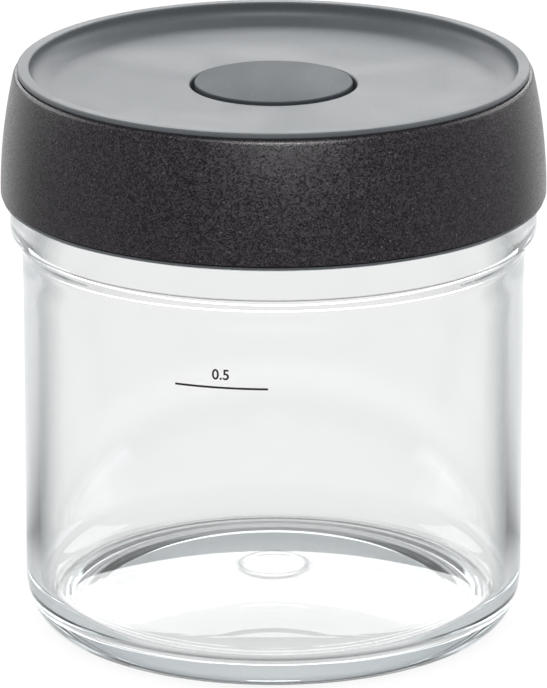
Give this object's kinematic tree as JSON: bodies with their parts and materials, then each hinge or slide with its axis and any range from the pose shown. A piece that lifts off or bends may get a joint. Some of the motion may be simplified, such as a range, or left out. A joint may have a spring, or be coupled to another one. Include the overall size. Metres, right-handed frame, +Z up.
{
  "type": "fermentation jar",
  "caption": "Cylindrical clear glass jar with a screw-on dished plastic lid, a grained grip ring round it and a sprung round vent button in its centre.",
  "frame": {"origin": "centre of the foot ring, on the surface that the jar stands on", "axes": "+Z up along the jar's axis, which the lid turns about and the button slides along; -Y is the side with the fill mark"},
  "size_m": [0.1174, 0.1174, 0.1239],
  "materials": {
    "clear_glass": "clear, polished",
    "charcoal_plastic": "smooth satin",
    "grip_rubber": "fine moulded grain, matte",
    "button_plastic": "satin",
    "liner_plastic": "satin",
    "silicone": "soft matte, slightly translucent",
    "spring_steel": "drawn wire"
  },
  "bodies": {
    "jar": {"glass_jar": "clear_glass"},
    "seal_ring": {"rim_gasket": "silicone"},
    "lid": {"lid_shell": "charcoal_plastic", "grip_ring": "grip_rubber", "lid_liner": "liner_plastic", "relief_flap": "silicone", "return_spring": "spring_steel", "valve_guard": "liner_plastic"},
    "button": {"vent_button": "button_plastic", "valve_stem": "liner_plastic", "stem_clip": "spring_steel", "valve_seal": "silicone"}
  },
  "joints": [
    {"name": "lid_rise", "type": "slide", "parent": "jar", "child": "seal_ring", "axis": [0, 0, 1], "range_m": [0, 0.02]},
    {"name": "lid_turn", "type": "hinge", "parent": "seal_ring", "child": "lid", "pos_m": [0, 0, 0.0953], "axis": [0, 0, 1], "range_deg": [0, 450]},
    {"name": "vent_press", "type": "slide", "parent": "lid", "child": "button", "axis": [0, 0, -1], "range_m": [0, 0.0025], "stiffness_N_per_m": 400, "springref_m": -0.002, "deforming": ["return_spring"]}
  ],
  "couplings": [
    {"joint": "lid_rise", "follows": "lid_turn", "m_per_rad": 0.002546}
  ]
}
